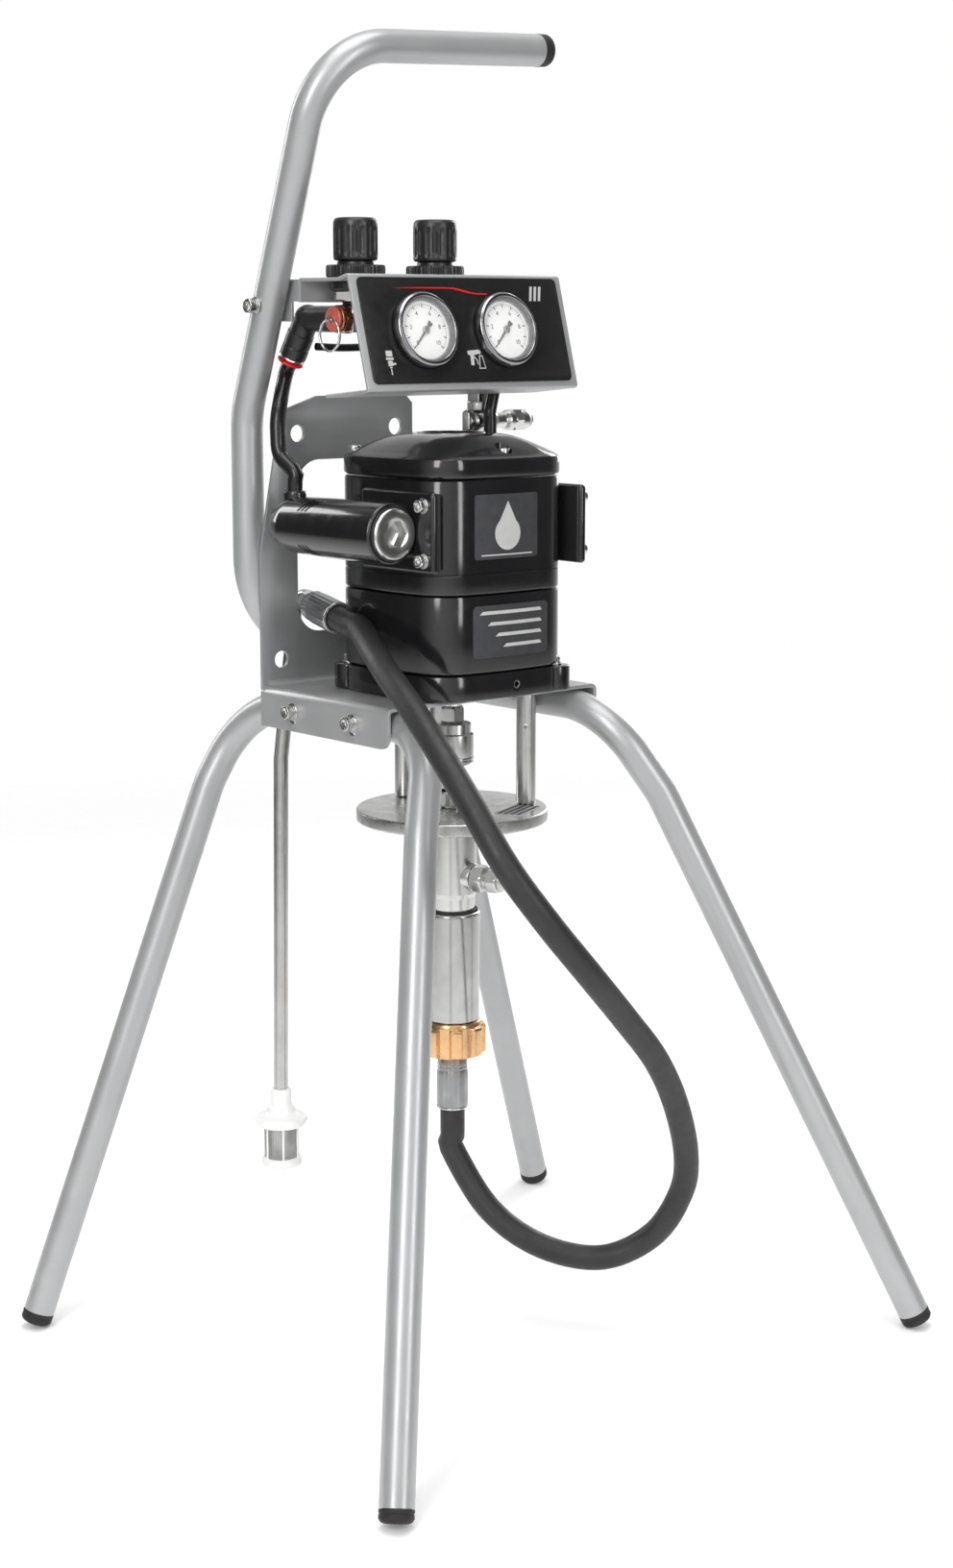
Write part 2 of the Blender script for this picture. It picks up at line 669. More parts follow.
def panel_bracket(look):
    """Folded sheet: raised front rim, shelf for the regulators, rear leg and bottom lip."""
    grey = look["frame_grey"]
    sheet = PANEL_SHEET
    back_in = -PANEL_OUT * sheet
    front_top = Vector((0.0, PANEL_TOP_Y, PANEL_TOP))
    front_bottom = Vector((0.0, PANEL_BOTTOM_Y, PANEL_BOTTOM))
    inner_top = front_top + back_in - PANEL_UP * sheet
    inner_bottom = front_bottom + back_in + PANEL_UP * sheet
    rear_low = PANEL_SHELF - PANEL_REAR_DROP
    lip_z = PANEL_BOTTOM - PANEL_LIP_DROP
    outline = [(front_top.y, front_top.z), (PANEL_RIM_BACK, PANEL_SHELF),
               (PANEL_BACK_Y, PANEL_SHELF), (PANEL_BACK_Y, rear_low),
               (PANEL_BACK_Y - sheet, rear_low), (PANEL_BACK_Y - sheet, PANEL_SHELF - sheet),
               (PANEL_RIM_BACK - sheet * 0.2, PANEL_SHELF - sheet), (inner_top.y, inner_top.z),
               (inner_bottom.y, inner_bottom.z), (PANEL_LIP_BACK, lip_z + sheet),
               (PANEL_LIP_BACK, lip_z), (front_bottom.y, front_bottom.z)]
    across = Matrix(((0, 0, 1, 0), (1, 0, 0, 0), (0, 1, 0, 0), (0, 0, 0, 1)))
    bracket = prism("panel_bracket", outline, PANEL_LEFT, PANEL_RIGHT, grey, across)
    bolt = panel_bolt_place()
    ear_x = HANDLE_X + HANDLE_RADIUS + GAP
    front_y = PANEL_BACK_Y - sheet * 0.6
    low_y = bolt.y - LEG_RADIUS
    back_y = bolt.y + LEG_RADIUS
    ear = [(front_y, rear_low + 0.0007), (low_y, rear_low + 0.0007), (low_y, EAR_LOW),
           (back_y, EAR_LOW), (back_y, PANEL_SHELF - 0.0007), (front_y, PANEL_SHELF - 0.0007)]
    join_solid(bracket, prism("cutter", ear, ear_x, ear_x + sheet, grey, across))
    cut_round(bracket, LEG_BOLT_HOLE, bolt, (1, 0, 0), 2.0 * HANDLE_RADIUS, grey, 12)
    for x in GAUGE_PLACES:
        start = panel_point(x, GAUGE_DOWN) + PANEL_OUT * sheet
        cut_round(bracket, GAUGE_CAN + 2.0 * GAP, start, -PANEL_OUT, 3.0 * sheet, grey, 28)
    for x in REGULATOR_PLACES:
        cut_round(bracket, NECK_RADIUS + 2.0 * GAP, (x, REGULATOR_Y, PANEL_SHELF - 2.0 * sheet),
                  (0, 0, 1), 3.0 * sheet, grey, 24)
    return bracket


def panel_facia(look):
    half = PANEL_HALF - FACIA_MARGIN
    outline = rounded_rectangle(PANEL_MIDDLE - half, PANEL_MIDDLE + half,
                                FACIA_MARGIN - PANEL_LENGTH, -FACIA_TOP_MARGIN, FACIA_CORNER)
    facia = prism("panel_facia", outline, GAP, GAP + FACIA_THICKNESS, look["black_plastic"],
                  panel_place(0.0, 0.0))
    for x in GAUGE_PLACES:
        start = panel_point(x, GAUGE_DOWN) + PANEL_OUT * 2.0 * PANEL_SHEET
        cut_round(facia, GAUGE_CAN + 2.0 * GAP, start, -PANEL_OUT, 4.0 * PANEL_SHEET,
                  look["cutter"], 28)


def gauges(look):
    seat = 2.0 * GAP + FACIA_THICKNESS
    for x, side_name in zip(GAUGE_PLACES, ("left", "right")):
        place = panel_place(x, GAUGE_DOWN, seat)
        depth = seat + GAUGE_CAN_DEPTH
        floor = GAUGE_BEZEL_HEIGHT - GAUGE_DIAL_DEPTH
        profile = [(0.0, -depth), (GAUGE_CAN * 0.85, -depth), (GAUGE_CAN, -depth + 0.003),
                   (GAUGE_CAN, 0.0), (GAUGE_BEZEL, 0.0), (GAUGE_BEZEL, GAUGE_BEZEL_HEIGHT * 0.7),
                   (GAUGE_BEZEL - 0.0015, GAUGE_BEZEL_HEIGHT),
                   (GAUGE_DIAL_RADIUS + GAP, GAUGE_BEZEL_HEIGHT * 0.9),
                   (GAUGE_DIAL_RADIUS + GAP, floor - 0.0012),
                   (0.0, floor - 0.0012)]
        turned("gauge_case_" + side_name, profile, look["chrome"], place, 32)
        dial = [(0.0, floor - 0.0012 + GAP), (GAUGE_DIAL_RADIUS, floor - 0.0012 + GAP),
                (GAUGE_DIAL_RADIUS, floor), (0.0, floor)]
        turned("gauge_dial_" + side_name, dial, look["dial_white"], place, 32)
        gauge_pointer("gauge_pointer_" + side_name, place, floor + GAP, look)


def gauge_pointer(name, place, height, look):
    turn = Matrix.Rotation(math.radians(POINTER_START), 4, "Z")
    outline = [(-POINTER_TAIL, -0.0016), (-POINTER_TAIL * 0.4, -0.0008)]
    hub = 0.0030
    for step in range(7):
        angle = math.radians(200.0 + 140.0 * step / 6.0)
        outline.append((hub * math.cos(angle), hub * math.sin(angle)))
    outline += [(POINTER_LENGTH * 0.6, -0.0006), (POINTER_LENGTH, -0.0002),
                (POINTER_LENGTH, 0.0002), (POINTER_LENGTH * 0.6, 0.0006)]
    for step in range(7):
        angle = math.radians(20.0 + 140.0 * step / 6.0)
        outline.append((hub * math.cos(angle), hub * math.sin(angle)))
    outline += [(-POINTER_TAIL * 0.4, 0.0008), (-POINTER_TAIL, 0.0016)]
    prism(name, outline, height, height + 0.0008, look["black_plastic"], place @ turn)


def regulators(look):
    """Each regulator hangs on the shelf by its lock ring and screws into the manifold."""
    under = PANEL_SHELF - PANEL_SHEET - GAP
    ring_base = PANEL_SHELF + GAP
    knob_base = ring_base + RING_HEIGHT + KNOB_LIFT
    socket = 0.0085
    for x, side_name in zip(REGULATOR_PLACES, ("left", "right")):
        foot = MANIFOLD_TOP + GAP
        shelf = under - BONNET_HEIGHT
        profile = [(0.0, foot), (0.0085, foot), (0.0085, shelf), (BONNET_RADIUS, shelf + 0.001),
                   (BONNET_RADIUS, under), (NECK_RADIUS, under),
                   (NECK_RADIUS, knob_base + socket - GAP), (0.0, knob_base + socket - GAP)]
        turned("regulator_body_" + side_name, profile, look["zinc"],
               upright(x, REGULATOR_Y, 0.0), 24)
        ring = [(NECK_RADIUS + 2.0 * GAP, 0.0), (RING_RADIUS, 0.0), (RING_RADIUS, RING_HEIGHT),
                (NECK_RADIUS + 2.0 * GAP, RING_HEIGHT)]
        turned("regulator_ring_" + side_name, ring, look["black_plastic"],
               upright(x, REGULATOR_Y, ring_base), 48, ring_notches)
        knob = [(0.0, 0.0), (KNOB_RADIUS, 0.0), (KNOB_RADIUS, KNOB_HEIGHT * 0.9),
                (KNOB_RADIUS * 0.92, KNOB_HEIGHT), (0.0, KNOB_HEIGHT)]
        item = turned("regulator_knob_" + side_name, knob, look["black_plastic"],
                      upright(x, REGULATOR_Y, knob_base), 40, knob_flutes)
        cut_round(item, NECK_RADIUS + 2.0 * GAP, (x, REGULATOR_Y, knob_base - socket), (0, 0, 1),
                  2.0 * socket, look["cutter"], 20)


def ring_notches(angle, radius):
    """Every other step of the lock ring's rim is cut in; its bore stays round."""
    notched = radius > NECK_RADIUS * 1.5 and math.cos(RING_NOTCHES * angle) < 0.0
    return radius * (0.965 if notched else 1.0)


def knob_flutes(angle, radius):
    return radius * (0.975 if math.cos(KNOB_FLUTES * angle) < 0.0 else 1.0)


def union_lobes(angle, radius):
    return radius * (0.88 if math.cos(UNION_LOBES * angle) < 0.0 else 1.0)


def manifold(look):
    """Air manifold under the regulators, with a boss behind it for the inlet riser."""
    half = MANIFOLD_WIDTH / 2.0
    side = RISER_SIDE / 2.0
    block = box("air_manifold", (MANIFOLD_LEFT, REGULATOR_Y - half, MANIFOLD_BOTTOM),
                (MANIFOLD_RIGHT, REGULATOR_Y + half, MANIFOLD_TOP), look["zinc"], 0.001)
    join_solid(block, box("cutter", (RISER_X - side, REGULATOR_Y, MANIFOLD_BOTTOM + 0.0002),
                          (RISER_X + side, RISER_Y + side, MANIFOLD_TOP - 0.002), look["zinc"]))


def safety_valve(look):
    """Relief valve on the manifold's left end; its stem is pulled out by a split ring."""
    middle = (MANIFOLD_TOP + MANIFOLD_BOTTOM) / 2.0
    origin = Vector((MANIFOLD_LEFT - GAP, REGULATOR_Y, middle))
    place = aimed(origin, (-1, 0, 0))
    bore = SAFETY_STEM_RADIUS + GAP
    body = [(bore, 0.004), (bore, SAFETY_LENGTH), (SAFETY_RADIUS, SAFETY_LENGTH),
            (SAFETY_RADIUS, 0.006), (SAFETY_RADIUS - 0.001, 0.0055), (SAFETY_RADIUS - 0.001, 0.0),
            (0.0, 0.0), (0.0, 0.004)]
    solid = [(0.0, 0.0), (SAFETY_RADIUS - 0.001, 0.0), (SAFETY_RADIUS - 0.001, 0.0055),
             (SAFETY_RADIUS, 0.006), (SAFETY_RADIUS, SAFETY_LENGTH), (0.0, SAFETY_LENGTH)]
    item = turned("safety_valve_body", solid, look["copper"], place, 20)
    depth = SAFETY_LENGTH - body[0][1]
    start = origin + Vector((-SAFETY_LENGTH - depth, 0.0, 0.0))
    cut_round(item, bore, start, (1, 0, 0), 2.0 * depth, look["cutter"], 12)
    lift = SAFETY_LENGTH + GAP
    stem = [(0.0, body[0][1] + 0.001), (SAFETY_STEM_RADIUS, body[0][1] + 0.001),
            (SAFETY_STEM_RADIUS, lift), (SAFETY_CAP_RADIUS, lift),
            (SAFETY_CAP_RADIUS, lift + SAFETY_CAP * 0.7),
            (SAFETY_CAP_RADIUS * 0.7, lift + SAFETY_CAP), (0.0, lift + SAFETY_CAP)]
    stem_item = turned("safety_valve_stem", stem, look["red_plastic"], place, 20)
    eye = origin + Vector((-lift - SAFETY_CAP - 0.0015, 0.0, 0.0))
    tab = [(-0.0012, -0.0030), (0.0012, -0.0030), (0.0012, 0.0030), (-0.0012, 0.0030)]
    tab_place = aimed(eye, (-1, 0, 0))
    join_solid(stem_item, prism("cutter", tab, -0.0035, 0.0030, look["red_plastic"], tab_place))
    cut_round(stem_item, PULL_RING_WIRE + 2.0 * GAP, eye - Vector((0.0, 0.005, 0.0)), (0, 1, 0),
              0.010, look["cutter"], 10)
    pull_ring(eye, look)


def pull_ring(eye, look):
    """Split ring that hangs through the stem's eye."""
    path = []
    count = 24
    for step in range(count):
        angle = math.tau * step / count
        path.append(eye + Vector((0.0, math.sin(angle) * PULL_RING_RADIUS,
                                  (math.cos(angle) - 1.0) * PULL_RING_RADIUS)))
    code = bmesh.new()
    rings = []
    for step, point in enumerate(path):
        angle = math.tau * step / count
        out = Vector((0.0, math.sin(angle), math.cos(angle)))
        ring = []
        for side in range(6):
            turn = math.tau * side / 6
            offset = out * math.cos(turn) + Vector((1.0, 0.0, 0.0)) * math.sin(turn)
            ring.append(code.verts.new(point + offset * PULL_RING_WIRE))
        rings.append(ring)
    for first, second in zip(rings, rings[1:] + rings[:1]):
        for side in range(6):
            after = (side + 1) % 6
            code.faces.new((first[side], first[after], second[after], second[side]))
    object_from("safety_valve_ring", code, look["chrome"])


def elbow_and_tube(look):
    """Push-in elbow behind the manifold, its release collar and the tube to the exhaust block."""
    middle = (MANIFOLD_TOP + MANIFOLD_BOTTOM) / 2.0
    black = look["black_plastic"]
    start = Vector((ELBOW_X, REGULATOR_Y + MANIFOLD_WIDTH / 2.0 + GAP, middle))
    corner = Vector((ELBOW_X, ELBOW_Y, middle))
    aim = Vector(ELBOW_AIM).normalized()
    run = corner.y - start.y
    arm = [(0.0, 0.0), (0.0075, 0.0), (0.0075, 0.006), (ELBOW_RADIUS, 0.007),
           (ELBOW_RADIUS, run - 0.002), (ELBOW_RADIUS * 0.7, run + 0.006), (0.0, run + 0.008)]
    elbow = turned("push_in_elbow", arm, black, aimed(start, (0, 1, 0)), 20)
    drop = [(0.0, -0.008), (ELBOW_RADIUS * 0.7, -0.006), (ELBOW_RADIUS * 1.02, 0.002),
            (ELBOW_RADIUS * 1.02, ELBOW_DROP), (0.0, ELBOW_DROP)]
    join_solid(elbow, turned("cutter", drop, black, aimed(corner, aim), 20))
    bore = COLLAR_RADIUS * 0.86
    mouth = corner + aim * ELBOW_DROP
    depth = 0.010
    cut_round(elbow, bore, mouth - aim * depth, aim, 2.0 * depth, look["cutter"], 20)
    tube_hole = AIR_TUBE_RADIUS + 3.0 * GAP
    lip = 0.0022
    out = COLLAR_TRAVEL + GAP
    collar = [(tube_hole, GAP - depth + COLLAR_TRAVEL), (bore - GAP, GAP - depth + COLLAR_TRAVEL),
              (bore - GAP, out), (COLLAR_RADIUS, out), (COLLAR_RADIUS, out + lip),
              (tube_hole, out + lip)]
    turned("elbow_release_collar", collar, look["red_plastic"], aimed(mouth, aim), 20)
    port = exhaust_port()
    route = lead(mouth - aim * (depth - GAP), aim, depth + out + lip + 0.002)
    route += [Vector(point) for point in AIR_LEFT_ROUTE]
    route += list(reversed(lead(port + Vector((0.0, 0.0, GAP)), (0.0, -0.05, 1.0), 0.009)))
    pipe("air_tube_left", smooth_route(route, 0.009), AIR_TUBE_RADIUS, AIR_TUBE_WALL, black, 12)


AIR_LEFT_ROUTE = (
    (-0.0968, 0.1240, 0.7374), (-0.0998, 0.1210, 0.7208), (-0.1003, 0.1170, 0.7055),
)


def exhaust_port():
    """Top of the small air port on the back half of the exhaust chamber."""
    return Vector((EXHAUST_CENTRE, 0.1020, BLOCK_CENTRE + EXHAUST_RADIUS + 0.003))


def inlet_valve(look):
    """Square riser under the manifold's boss, and a ball valve with a wing on its end."""
    half = RISER_SIDE / 2.0
    riser_low = INLET_Z + INLET_RADIUS + GAP
    box("inlet_riser", (RISER_X - half, RISER_Y - half, riser_low),
        (RISER_X + half, RISER_Y + half, MANIFOLD_BOTTOM - GAP), look["zinc"], 0.0008)
    length = INLET_RIGHT - INLET_LEFT
    profile = [(0.0, 0.0), (INLET_RADIUS * 0.8, 0.0), (INLET_RADIUS, 0.002),
               (INLET_RADIUS, length * 0.36), (INLET_RADIUS * 0.72, length * 0.40),
               (INLET_RADIUS * 0.72, length * 0.56), (INLET_RADIUS * 0.95, length * 0.60),
               (INLET_RADIUS * 0.95, length * 0.94), (INLET_RADIUS * 0.6, length), (0.0, length)]
    body = turned("inlet_valve_body", profile, look["zinc"],
                  aimed((INLET_LEFT, RISER_Y, INLET_Z), (1, 0, 0)), 20)
    bore = 0.0035 + GAP
    cut_round(body, bore, (INLET_LEFT - 0.008, RISER_Y, INLET_Z), (1, 0, 0), 0.016,
              look["cutter"], 14)
    stem = [(0.0, -0.0075), (0.0035, -0.0075), (0.0035, GAP), (0.0055, GAP), (0.0055, 0.003),
            (0.0, 0.003)]
    place = aimed((INLET_LEFT, RISER_Y, INLET_Z), (-1, 0, 0))
    wing = turned("inlet_valve_wing", stem, look["zinc"], place, 16)
    outline = rounded_rectangle(-WING_HEIGHT / 2.0, WING_HEIGHT / 2.0, -WING_HALF, WING_HALF,
                                WING_HEIGHT * 0.4, 3)
    join_solid(wing, prism("cutter", outline, 0.0015, 0.0015 + WING_THICKNESS, look["zinc"], place))


def air_tube_right(look):
    """Tube from the manifold's underside to the port on the motor's top cover."""
    port = cover_port()
    down = Vector((0.0, 0.0, -1.0))
    route = lead((AIR_RIGHT_X, REGULATOR_Y, MANIFOLD_BOTTOM - GAP), down, 0.012)
    route += list(reversed(lead(port - down * GAP, -down, 0.012)))
    pipe("air_tube_right", smooth_route(route, 0.010), AIR_TUBE_RADIUS * 0.85, AIR_TUBE_WALL,
         look["black_plastic"], 12)


def cover_port():
    return Vector((0.0580, REGULATOR_Y - 0.001, COVER_BASE + COVER_HEIGHT - 0.003))


def motor_outline(inset=0.0, steps=5):
    half = MOTOR_HALF - inset
    return [(x, y + AXIS_Y) for x, y in
            rounded_rectangle(-half, half, -half, half, MOTOR_CORNER - inset, steps, MOTOR_BULGE)]


def motor_base(look):
    black = look["black_gloss"]
    base = prism("motor_base", motor_outline(), MOTOR_FLOOR, MOTOR_FLOOR + BASE_HEIGHT, black)
    reach = MOTOR_HALF - LUG_RADIUS + 0.001
    for x, y in ((-reach, reach), (reach, reach), (reach, -reach)):
        lug = [(0.0, 0.001), (LUG_RADIUS, 0.001), (LUG_RADIUS, BASE_HEIGHT - 0.001),
               (0.0, BASE_HEIGHT - 0.001)]
        join_solid(base, turned("cutter", lug, black, upright(x, y + AXIS_Y, MOTOR_FLOOR), 20))
    cut_round(base, ROD_RADIUS + GAP, (0.0, AXIS_Y, MOTOR_FLOOR - 0.01), (0, 0, 1),
              BASE_HEIGHT + 0.02, look["cutter"], 24)
    for x, y in tie_places():
        cut_round(base, TIE_RADIUS * 0.6 + GAP, (x, y, MOTOR_FLOOR - 0.01), (0, 0, 1), 0.01 + 0.012,
                  look["cutter"], 16)
    return base


def motor_housings(look):
    black = look["black_gloss"]
    for name, low, height in (("motor_lower_housing", LOWER_HOUSING_BASE, LOWER_HOUSING_HEIGHT),
                              ("motor_upper_housing", UPPER_HOUSING_BASE, UPPER_HOUSING_HEIGHT)):
        housing = prism(name, motor_outline(0.0006), low, low + height, black)
        cut_round(housing, BORE_RADIUS, (0.0, AXIS_Y, low - 0.01), (0, 0, 1), height + 0.02,
                  look["cutter"], 40)


def motor_cover(look):
    """Rim that matches the housing, then a shallow dome drawn in to a round crown."""
    code = bmesh.new()
    rings = []
    rise = COVER_HEIGHT - COVER_RIM
    levels = ((0.0, 0.0), (0.0, COVER_RIM * 0.85), (0.08, COVER_RIM), (0.45, COVER_RIM + rise * 0.50),
              (0.80, COVER_RIM + rise * 0.86), (1.0, COVER_HEIGHT))
    outline = motor_outline()
    for share, height in levels:
        ring = []
        for x, y in outline:
            direction = Vector((x, y - AXIS_Y)).normalized()
            point = Vector((x, y - AXIS_Y)).lerp(direction * COVER_CROWN_RADIUS, share)
            ring.append(code.verts.new((point.x, point.y + AXIS_Y, COVER_BASE + height)))
        rings.append(ring)
    count = len(outline)
    for lower, upper in zip(rings, rings[1:]):
        for step in range(count):
            after = (step + 1) % count
            code.faces.new((lower[step], lower[after], upper[after], upper[step]))
    code.faces.new(list(reversed(rings[0])))
    code.faces.new(rings[-1])
    cover = object_from("motor_top_cover", code, look["black_gloss"])
    port = cover_port()
    boss = [(0.0, -0.018), (AIR_TUBE_RADIUS + 0.002, -0.018), (AIR_TUBE_RADIUS + 0.002, 0.0),
            (0.0, 0.0)]
    join_solid(cover, turned("cutter", boss, look["black_gloss"], upright(*port), 16))
    cut_round(cover, BORE_RADIUS * 0.9, (0.0, AXIS_Y, COVER_BASE - COVER_POCKET), (0, 0, 1),
              2.0 * COVER_POCKET, look["cutter"], 32)


def valve_blocks(look):
    """A block on each side; the left one carries the exhaust chamber along its outer face."""
    black = look["black_gloss"]
    low = BLOCK_CENTRE - BLOCK_HEIGHT / 2.0
    high = BLOCK_CENTRE + BLOCK_HEIGHT / 2.0
    inner = MOTOR_HALF + MOTOR_BULGE + GAP
    outer = MOTOR_HALF + BLOCK_OUT
    for side, name in ((-1, "valve_block_left"), (1, "valve_block_right")):
        x_low, x_high = sorted((side * inner, side * outer))
        block = box(name, (x_low, AXIS_Y - MOTOR_HALF - 0.003, low), (x_high, BLOCK_BACK, high),
                    black, BLOCK_ROUND * 0.5)
        if side < 0:
            chamber = [(0.0, 0.0), (EXHAUST_RADIUS, 0.0),
                       (EXHAUST_RADIUS, EXHAUST_LENGTH - BLOCK_ROUND),
                       (EXHAUST_RADIUS - BLOCK_ROUND, EXHAUST_LENGTH), (0.0, EXHAUST_LENGTH)]
            origin = (EXHAUST_CENTRE, EXHAUST_FRONT, BLOCK_CENTRE)
            join_solid(block, turned("cutter", chamber, black, aimed(origin, (0, 1, 0)), 28))
            port = exhaust_port()
            boss = [(0.0, -0.012), (AIR_TUBE_RADIUS + 0.003, -0.012),
                    (AIR_TUBE_RADIUS + 0.003, 0.0), (0.0, 0.0)]
            join_solid(block, turned("cutter", boss, black, upright(*port), 16))
            cut_round(block, PLUG_SHANK_RADIUS + GAP,
                      (EXHAUST_CENTRE, EXHAUST_FRONT - 0.01, BLOCK_CENTRE), (0, 1, 0),
                      0.01 + EXHAUST_LENGTH * 0.8, look["cutter"], 24)


def exhaust_plug(look):
    origin = Vector((EXHAUST_CENTRE, EXHAUST_FRONT - GAP, BLOCK_CENTRE))
    profile = [(0.0, -PLUG_SHANK), (PLUG_SHANK_RADIUS, -PLUG_SHANK), (PLUG_SHANK_RADIUS, 0.0),
               (PLUG_RADIUS, 0.0), (PLUG_RADIUS, PLUG_HEAD * 0.8),
               (PLUG_RADIUS - 0.001, PLUG_HEAD), (0.0, PLUG_HEAD)]
    place = aimed(origin, (0, -1, 0))
    plug = turned("exhaust_plug", profile, look["chrome"], place, 28)
    socket = prism("cutter", hexagon(PLUG_HEX * 2.0), -PLUG_HEAD, PLUG_HEAD * 2.0,
                   look["cutter"], place)
    add_boolean(plug, socket, "DIFFERENCE")


def moving_rod(look):
    """Air piston, its rod, the lock nut, the coupling and the pump's plunger."""
    low = PISTON_MIDDLE - PISTON_THICKNESS / 2.0
    high = PISTON_MIDDLE + PISTON_THICKNESS / 2.0
    piston = [(ROD_RADIUS * 0.6 + GAP, low), (BORE_RADIUS - 0.0008, low),
              (BORE_RADIUS - 0.0008, high), (ROD_RADIUS * 0.6 + GAP, high)]
    turned("air_piston", piston, look["zinc"], upright(0.0, AXIS_Y, 0.0), 40)
    rod = [(0.0, COUPLING_TOP - 0.010), (ROD_RADIUS * 0.6, COUPLING_TOP - 0.010),
           (ROD_RADIUS * 0.6, NUT_TOP + GAP), (ROD_RADIUS, NUT_TOP + GAP), (ROD_RADIUS, low - GAP),
           (ROD_RADIUS * 0.6, low - GAP), (ROD_RADIUS * 0.6, high + 0.004), (0.0, high + 0.004)]
    turned("piston_rod", rod, look["chrome"], upright(0.0, AXIS_Y, 0.0), 20)
    nut = [(ROD_RADIUS * 0.6 + GAP, COUPLING_TOP + GAP), (ROD_NUT_RADIUS, COUPLING_TOP + GAP),
           (ROD_NUT_RADIUS, NUT_TOP), (ROD_RADIUS * 0.6 + GAP, NUT_TOP)]
    turned("rod_lock_nut", nut, look["steel"], upright(0.0, AXIS_Y, 0.0), 20)
    neck = COUPLING_TOP - COUPLING_NECK
    bottom = COUPLING_TOP - COUPLING_LENGTH
    bore = ROD_RADIUS * 0.6 + GAP
    coupling = [(PLUNGER_RADIUS + GAP, bottom), (COUPLING_RADIUS - 0.0012, bottom),
                (COUPLING_RADIUS, bottom + 0.0012), (COUPLING_RADIUS, neck),
                (COUPLING_NECK_RADIUS, neck), (COUPLING_NECK_RADIUS, COUPLING_TOP),
                (bore, COUPLING_TOP), (bore, COUPLING_TOP - 0.0115),
                (PLUNGER_RADIUS + GAP, COUPLING_TOP - 0.0118)]
    turned("rod_coupling", coupling, look["steel"], upright(0.0, AXIS_Y, 0.0), 28)
    plunger = [(0.0, PLUNGER_BOTTOM), (PUMP_BORE - 0.0008, PLUNGER_BOTTOM),
               (PUMP_BORE - 0.0008, PLUNGER_BOTTOM + 0.018),
               (PLUNGER_RADIUS, PLUNGER_BOTTOM + 0.0195),
               (PLUNGER_RADIUS, COUPLING_TOP - 0.0122), (0.0, COUPLING_TOP - 0.0122)]
    turned("pump_plunger", plunger, look["chrome"], upright(0.0, AXIS_Y, 0.0), 20)


def tie_places():
    return [(TIE_CIRCLE * math.cos(math.radians(angle)),
             AXIS_Y + TIE_CIRCLE * math.sin(math.radians(angle))) for angle in TIE_ANGLES]


def tie_rods(look):
    top = MOTOR_FLOOR - GAP
    for (x, y), name in zip(tie_places(), ("back", "left", "right")):
        stud = TIE_RADIUS * 0.6
        profile = [(0.0, DISC_TOP - DISC_THICKNESS - 0.006), (stud, DISC_TOP - DISC_THICKNESS - 0.006),
                   (stud, DISC_TOP + GAP), (TIE_RADIUS - 0.0008, DISC_TOP + GAP),
                   (TIE_RADIUS, DISC_TOP + GAP + 0.0008), (TIE_RADIUS, top - 0.0008),
                   (TIE_RADIUS - 0.0008, top), (stud, top), (stud, top + 0.010), (0.0, top + 0.010)]
        turned("tie_rod_" + name, profile, look["steel"], upright(x, y, 0.0), 20)


def pump(look):
    steel = look["steel"]
    bottom = DISC_TOP - DISC_THICKNESS
    centre = upright(0.0, AXIS_Y, 0.0)
    disc = [(0.0, bottom), (DISC_RADIUS - 2.0 * DISC_CHAMFER, bottom),
            (DISC_RADIUS, bottom + DISC_CHAMFER), (DISC_RADIUS, DISC_TOP - DISC_CHAMFER),
            (DISC_RADIUS - DISC_CHAMFER, DISC_TOP), (0.0, DISC_TOP)]
    flange = turned("pump_flange", disc, steel, centre, 40)
    cut_round(flange, PLUNGER_RADIUS + 0.001, (0.0, AXIS_Y, bottom - 0.01), (0, 0, 1),
              DISC_THICKNESS + 0.02, look["cutter"], 14)
    for x, y in tie_places():
        cut_round(flange, TIE_RADIUS * 0.6 + GAP, (x, y, bottom - 0.01), (0, 0, 1),
                  DISC_THICKNESS + 0.02, look["cutter"], 14)
    packing = [(PLUNGER_RADIUS + GAP, DISC_TOP + GAP), (PACKING_RADIUS, DISC_TOP + GAP),
               (PACKING_RADIUS, DISC_TOP + PACKING_HEIGHT * 0.5),
               (PACKING_RADIUS * 0.9, DISC_TOP + PACKING_HEIGHT * 0.55),
               (PACKING_RADIUS * 0.9, DISC_TOP + PACKING_HEIGHT),
               (PLUNGER_RADIUS + GAP, DISC_TOP + PACKING_HEIGHT)]
    turned("packing_nut", packing, look["zinc"], centre, 24)
    body_top = bottom - GAP
    body = [(PUMP_BORE, BODY_BOTTOM), (BODY_RADIUS, BODY_BOTTOM), (BODY_RADIUS, body_top),
            (PUMP_BORE, body_top)]
    turned("pump_body", body, steel, centre, 28)
    outlet_fitting(look)
    lower_top = BODY_BOTTOM - GAP
    cylinder = [(PUMP_BORE, CYLINDER_BOTTOM), (CYLINDER_RADIUS * 0.9, CYLINDER_BOTTOM),
                (CYLINDER_RADIUS * 0.9, CYLINDER_BOTTOM + CYLINDER_FLAT),
                (CYLINDER_RADIUS, CYLINDER_BOTTOM + CYLINDER_FLAT * 1.4),
                (CYLINDER_RADIUS, lower_top - 0.001), (CYLINDER_RADIUS - 0.001, lower_top),
                (PUMP_BORE, lower_top)]
    turned("pump_cylinder", cylinder, steel, centre, 28)


